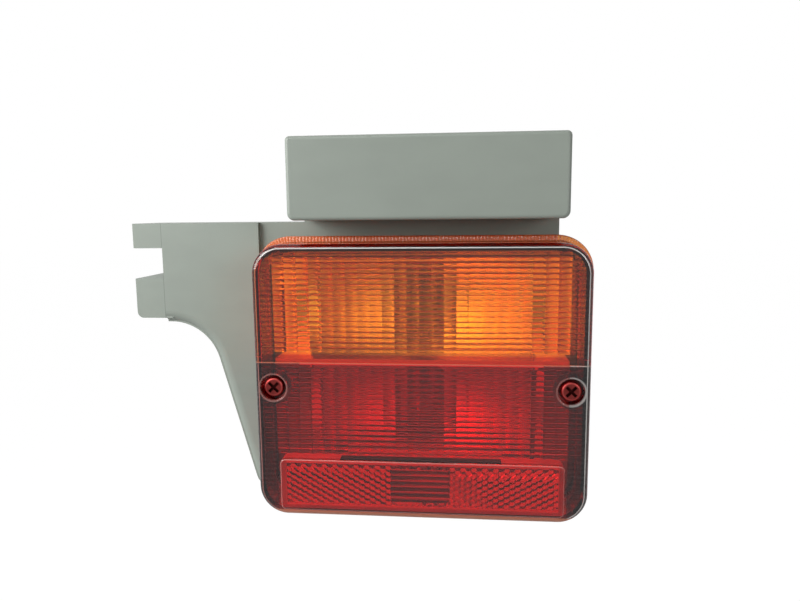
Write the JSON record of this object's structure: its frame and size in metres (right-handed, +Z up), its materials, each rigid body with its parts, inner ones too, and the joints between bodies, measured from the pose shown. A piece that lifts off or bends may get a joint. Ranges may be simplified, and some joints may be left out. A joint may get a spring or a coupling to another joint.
{
  "type": "tail light cluster",
  "caption": "Rear lamp cluster with an amber over red fluted lens and reflex strip, on a grey moulded carrier with a forked arm and a hood.",
  "frame": {"origin": "midway between the two screw bosses in the hood, on the plane of the carrier's back", "axes": "+X to the right and +Z up as the lamp is seen from the front, +Y from the lens towards the vehicle"},
  "size_m": [0.1556, 0.071, 0.1236],
  "materials": {
    "carrier_plastic": "moulded grey-green thermoplastic, satin",
    "body_plastic": "moulded black thermoplastic",
    "foam": "closed-cell foam",
    "rubber": "moulded rubber",
    "amber_clear": "clear amber moulding, polished outside, fluted inside",
    "red_clear": "clear red moulding, polished outside, fluted inside",
    "backing_plastic": "red moulded cover",
    "metallised": "vacuum-metallised plastic",
    "plated_steel": "zinc-plated sheet steel",
    "insulating_board": "brown insulating board",
    "brass": "stamped brass strip",
    "cap_brass": "nickelled brass cap",
    "bulb_glass": "clear blown glass",
    "filament_metal": "glass stem with wires",
    "plated_screw": "bright-plated screw"
  },
  "bodies": {
    "root": {"carrier": "carrier_plastic", "body_seal_pad": "foam", "lamp_body": "body_plastic", "lens_gasket": "rubber", "amber_lens": "amber_clear", "red_lens": "red_clear", "reflex_backing": "backing_plastic", "indicator_reflector": "metallised", "stop_reflector": "metallised", "indicator_bulb_socket": "plated_steel", "stop_bulb_socket": "plated_steel", "indicator_contact_insulator": "insulating_board", "stop_contact_insulator": "insulating_board", "indicator_contact": "brass", "stop_contact": "brass", "tail_contact": "brass", "earth_strap": "brass", "indicator_bulb_glass": "bulb_glass", "stop_bulb_glass": "bulb_glass", "indicator_bulb_cap": "cap_brass", "stop_bulb_cap": "cap_brass", "indicator_bulb_mount": "filament_metal", "stop_bulb_mount": "filament_metal", "lens_screws": "plated_screw", "lens_screw_washers": "rubber", "body_screws": "plated_screw", "body_screw_washers": "plated_steel", "socket_rivets": "plated_steel"}
  },
  "joints": []
}
